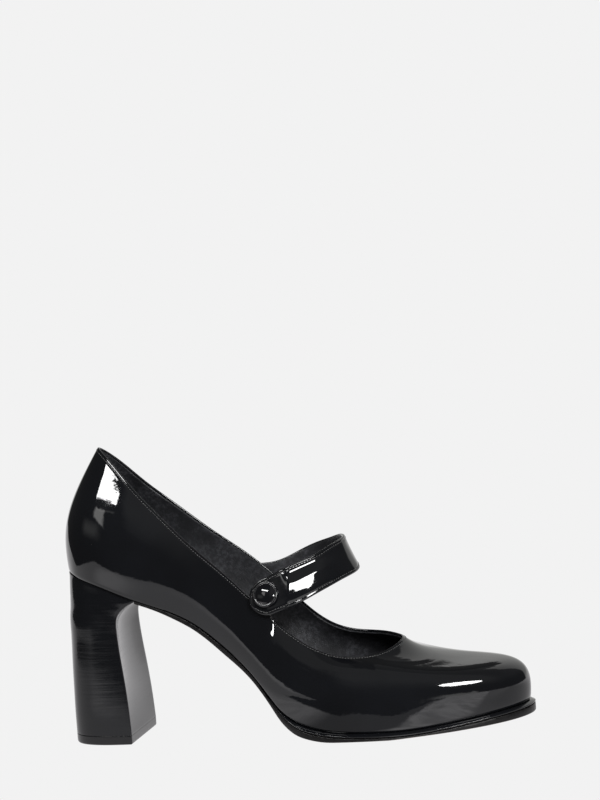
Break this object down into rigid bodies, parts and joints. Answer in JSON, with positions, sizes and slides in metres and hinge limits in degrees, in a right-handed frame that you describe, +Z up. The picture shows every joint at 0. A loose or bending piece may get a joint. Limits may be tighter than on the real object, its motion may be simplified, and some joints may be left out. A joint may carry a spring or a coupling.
{
  "type": "mary jane pump",
  "caption": "Hollow lasted patent shoe with a rounded square toe, deep throat, instep strap with covered button, narrow welt and a high block heel.",
  "frame": {"origin": "on the heel's ground face, at the middle of the top piece", "axes": "+X towards the toe, +Y towards the inner side of the foot, +Z up, sole standing on z = 0"},
  "size_m": [0.2241, 0.0811, 0.1419],
  "materials": {
    "patent": "high gloss patent, dark grey grained lining inside",
    "outsole": "dyed leather, matt underside",
    "welt": "glossy dyed edge",
    "insole": "matt grained sock",
    "heel_cover": "smooth glossy heel cover",
    "top_piece": "smooth dense rubber",
    "strap_patent": "high gloss patent, stitched edges",
    "button_patent": "high gloss patent over a metal shell"
  },
  "bodies": {
    "root": {"upper": "patent", "outsole": "outsole", "welt": "welt", "insole": "insole", "heel": "heel_cover", "heel_top_piece": "top_piece", "strap": "strap_patent", "button": "button_patent"}
  },
  "joints": []
}
